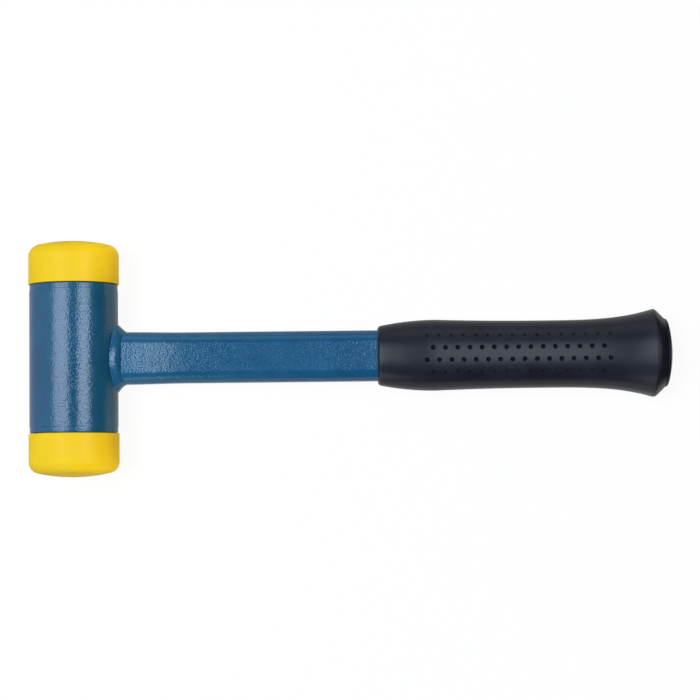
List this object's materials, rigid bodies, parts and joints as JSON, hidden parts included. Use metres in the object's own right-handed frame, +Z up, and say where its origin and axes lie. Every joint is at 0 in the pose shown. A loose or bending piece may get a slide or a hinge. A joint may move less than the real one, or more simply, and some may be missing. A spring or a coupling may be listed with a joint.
{
  "type": "dead blow hammer",
  "caption": "Dead blow hammer: painted steel barrel holding loose steel shot, yellow press-in strike faces, welded flattened-tube handle and flared rubber grip with dimples.",
  "frame": {"origin": "On the surface that the hammer lies on, under the middle of its box: half way along its length, in the handle's middle plane", "axes": "+X along the handle from the head to the end cap, +Y along the barrel towards the upper face, +Z up, square to the handle's broad sides"},
  "size_m": [0.285, 0.1046, 0.04],
  "materials": {
    "blue_paint": "glossy hammer paint with a fine pebbled skin",
    "face_polyurethane": "satin moulded polyurethane",
    "bare_steel": "plain steel",
    "grip_rubber": "fine matt grain",
    "cap_plastic": "smooth moulded plastic"
  },
  "bodies": {
    "hammer": {"barrel": "blue_paint", "strike_face_upper": "face_polyurethane", "strike_face_lower": "face_polyurethane", "chamber_disc_upper": "bare_steel", "chamber_disc_lower": "bare_steel", "handle_tube": "blue_paint", "weld_bead": "blue_paint", "grip_sleeve": "grip_rubber", "grip_end_cap": "cap_plastic"},
    "shot": {"shot_ball_01": "bare_steel", "shot_ball_02": "bare_steel", "shot_ball_03": "bare_steel", "shot_ball_04": "bare_steel", "shot_ball_05": "bare_steel", "shot_ball_06": "bare_steel", "shot_ball_07": "bare_steel", "shot_ball_08": "bare_steel", "shot_ball_09": "bare_steel", "shot_ball_10": "bare_steel", "shot_ball_11": "bare_steel", "shot_ball_12": "bare_steel", "shot_ball_13": "bare_steel", "shot_ball_14": "bare_steel", "shot_ball_15": "bare_steel", "shot_ball_16": "bare_steel", "shot_ball_17": "bare_steel", "shot_ball_18": "bare_steel", "shot_ball_19": "bare_steel", "shot_ball_20": "bare_steel", "shot_ball_21": "bare_steel", "shot_ball_22": "bare_steel", "shot_ball_23": "bare_steel", "shot_ball_24": "bare_steel", "shot_ball_25": "bare_steel", "shot_ball_26": "bare_steel", "shot_ball_27": "bare_steel", "shot_ball_28": "bare_steel", "shot_ball_29": "bare_steel", "shot_ball_30": "bare_steel", "shot_ball_31": "bare_steel", "shot_ball_32": "bare_steel", "shot_ball_33": "bare_steel", "shot_ball_34": "bare_steel", "shot_ball_35": "bare_steel", "shot_ball_36": "bare_steel", "shot_ball_37": "bare_steel", "shot_ball_38": "bare_steel", "shot_ball_39": "bare_steel", "shot_ball_40": "bare_steel", "shot_ball_41": "bare_steel", "shot_ball_42": "bare_steel", "shot_ball_43": "bare_steel", "shot_ball_44": "bare_steel", "shot_ball_45": "bare_steel", "shot_ball_46": "bare_steel", "shot_ball_47": "bare_steel", "shot_ball_48": "bare_steel"}
  },
  "joints": [
    {"name": "shot_slide", "type": "slide", "parent": "hammer", "child": "shot", "axis": [0, 1, 0], "range_m": [0, 0.0086]}
  ]
}
